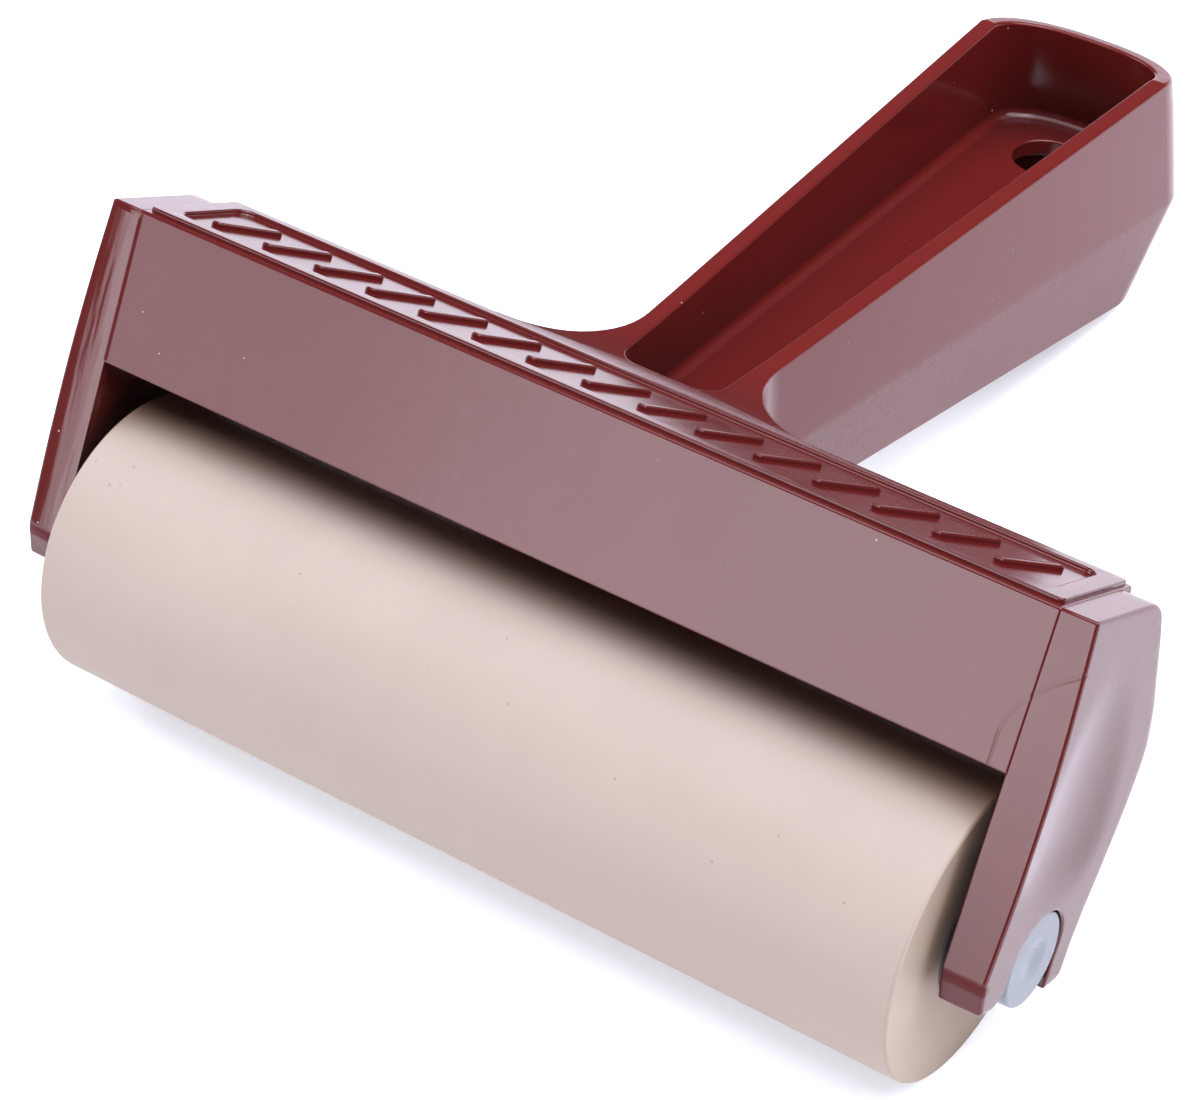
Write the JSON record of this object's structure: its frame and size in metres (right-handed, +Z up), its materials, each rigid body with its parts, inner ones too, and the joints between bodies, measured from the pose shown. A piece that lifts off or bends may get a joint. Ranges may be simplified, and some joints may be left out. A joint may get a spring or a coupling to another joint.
{
  "type": "rubber brayer",
  "caption": "Hand roller for spreading ink or pressing paper: a moulded fork frame with a hollow trough handle holds a soft rubber roller on a snap-in axle.",
  "frame": {"origin": "middle of the plan view, on the plane that the roller and the tip of the handle stand on", "axes": "+X along the roller, +Y from the roller towards the tip of the handle, +Z up"},
  "size_m": [0.1152, 0.1308, 0.0514],
  "materials": {
    "burgundy_plastic": "moulded, glossy",
    "tan_rubber": "ground matt",
    "white_nylon": "satin, slightly milky",
    "core_plastic": "extruded, matt",
    "axle_steel": "drawn rod"
  },
  "bodies": {
    "frame": {"frame": "burgundy_plastic"},
    "cartridge": {"axle_rod": "axle_steel", "end_bush_left": "white_nylon", "end_bush_right": "white_nylon"},
    "roller": {"rubber_sleeve": "tan_rubber", "core_tube": "core_plastic", "hub_plug_left": "white_nylon", "hub_plug_right": "white_nylon"}
  },
  "joints": [
    {"name": "roller_release", "type": "slide", "parent": "frame", "child": "cartridge", "axis": [0, -0.5267, -0.85], "range_m": [0, 0.014]},
    {"name": "roller_spin", "type": "hinge", "parent": "cartridge", "child": "roller", "pos_m": [0, -0.04972, 0.01565], "axis": [1, 0, 0], "continuous": true}
  ]
}
